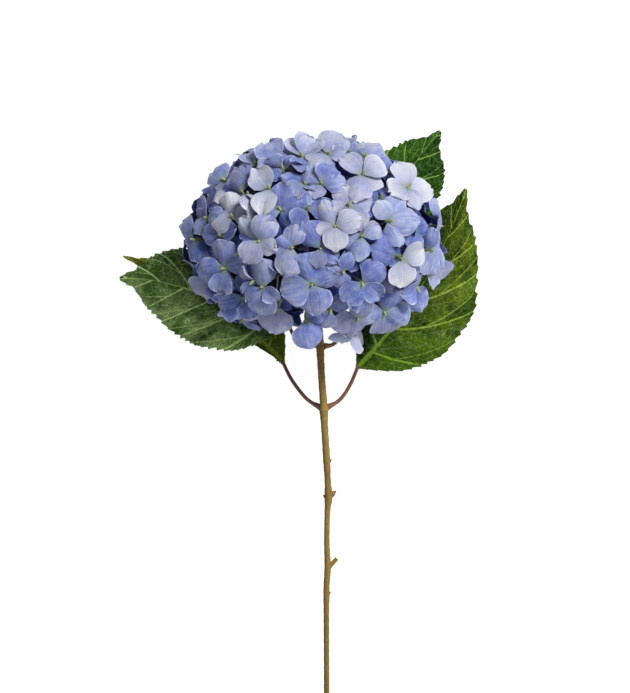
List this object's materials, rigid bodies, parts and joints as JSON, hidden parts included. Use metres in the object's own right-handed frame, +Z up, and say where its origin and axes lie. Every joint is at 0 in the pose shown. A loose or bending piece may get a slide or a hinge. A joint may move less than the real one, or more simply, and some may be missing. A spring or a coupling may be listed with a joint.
{
  "type": "cut hydrangea",
  "caption": "Cut hydrangea lying on a surface: a woody stem with toothed leaves on their stalks and one round head of blue four-petalled florets.",
  "frame": {"origin": "on the surface that it lies on, in the middle of the floret that the head rests on", "axes": "+Z up from the surface, +Y along the stem from its cut end to the head, +X to the right of the stem seen from above"},
  "size_m": [0.2497, 0.4106, 0.1524],
  "materials": {
    "petal_blue": "matte",
    "leaf_green": "satin",
    "stem_bark": "matte"
  },
  "bodies": {
    "root": {"flower_head": "petal_blue", "leaf_upper_left": "leaf_green", "leaf_lower_left": "leaf_green", "leaf_lower_right": "leaf_green", "leaf_upper_right": "leaf_green", "stem": "stem_bark"}
  },
  "joints": []
}
